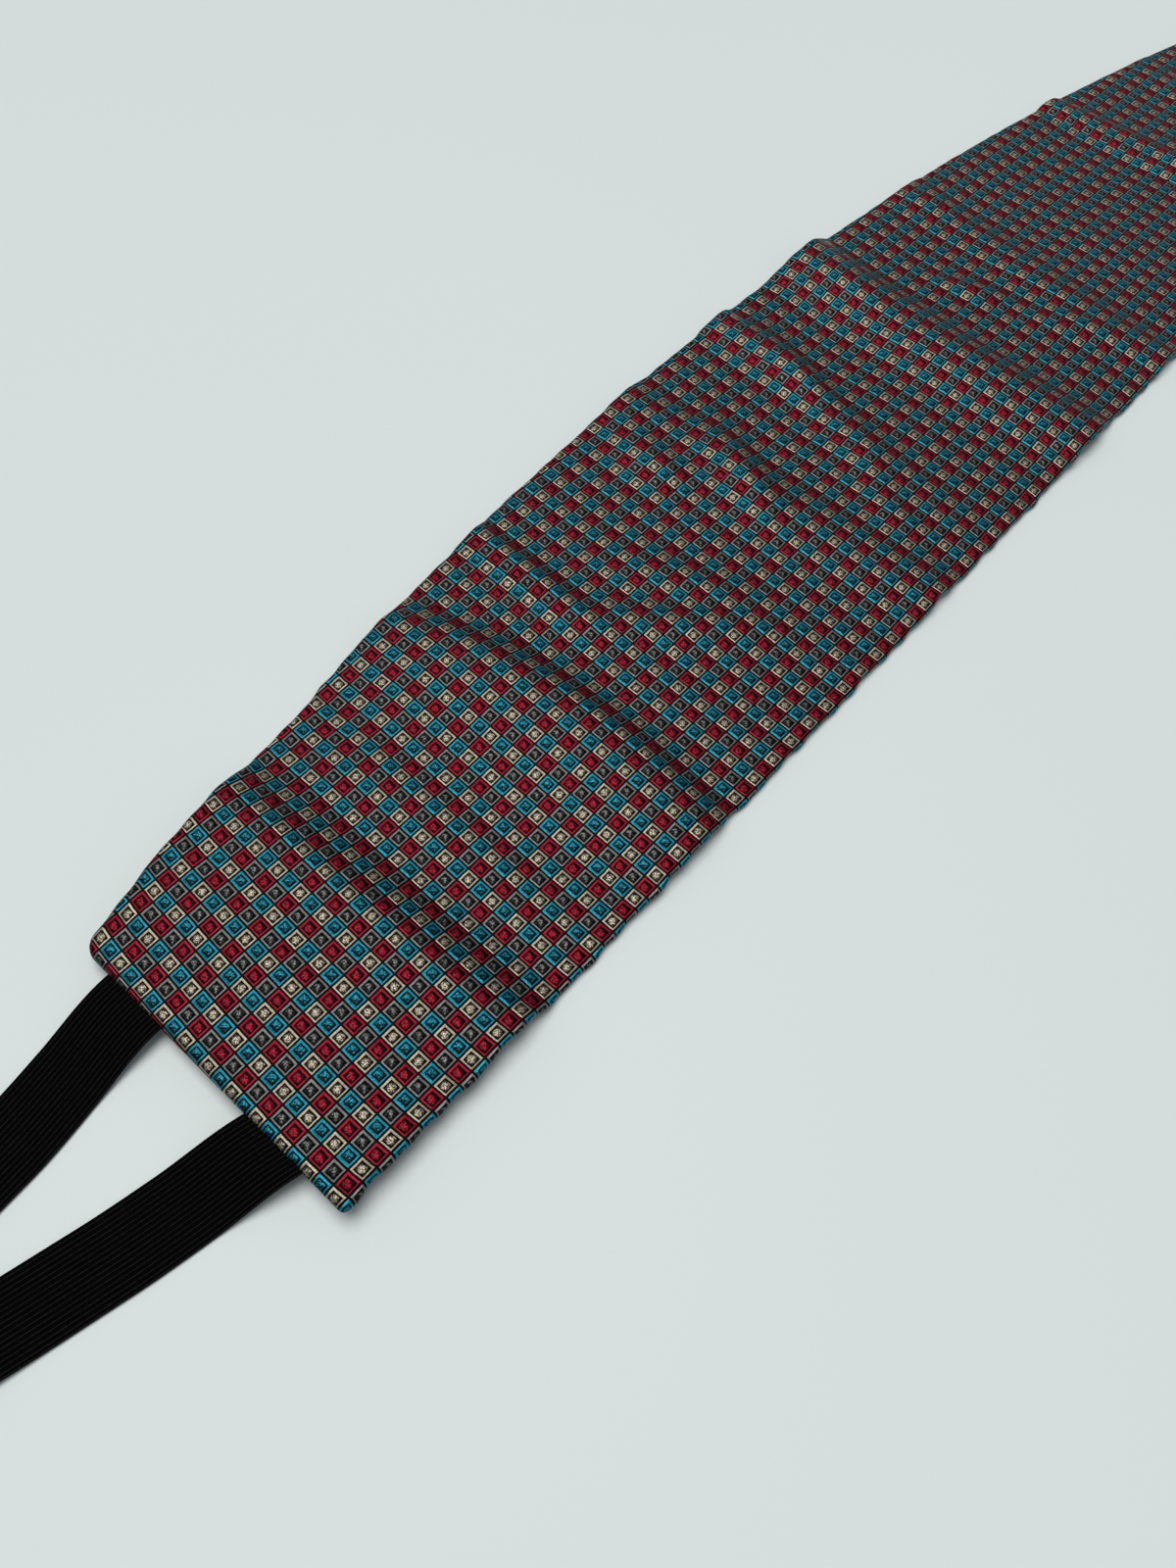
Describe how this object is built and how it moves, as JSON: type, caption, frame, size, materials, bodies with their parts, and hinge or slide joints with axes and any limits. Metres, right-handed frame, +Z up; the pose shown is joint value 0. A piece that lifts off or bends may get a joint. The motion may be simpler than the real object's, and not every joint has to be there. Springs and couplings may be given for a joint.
{
  "type": "cummerbund",
  "caption": "Arched woven waist sash panel, lying flat, with a pair of elastic straps at each end and a flat hook and eye.",
  "frame": {"origin": "middle of the panel's length and width, on the surface that it lies on", "axes": "+X along the panel from the near end with the hook to the far end with the eye, +Y across the panel towards its arched edge, +Z up"},
  "size_m": [0.8524, 0.1276, 0.0088],
  "materials": {
    "woven_cloth": "small-check jacquard weave in red, teal, grey and cream on black, with a slight silk sheen",
    "black_elastic": "matt black elastic webbing with fine lengthwise ribs",
    "clasp_metal": "plain nickel-plated steel, satin"
  },
  "bodies": {
    "root": {"front_panel": "woven_cloth", "strap_near_upper": "black_elastic", "strap_near_lower": "black_elastic", "strap_far_upper": "black_elastic", "strap_far_lower": "black_elastic", "hook_clasp": "clasp_metal", "eye_clasp": "clasp_metal"}
  },
  "joints": []
}
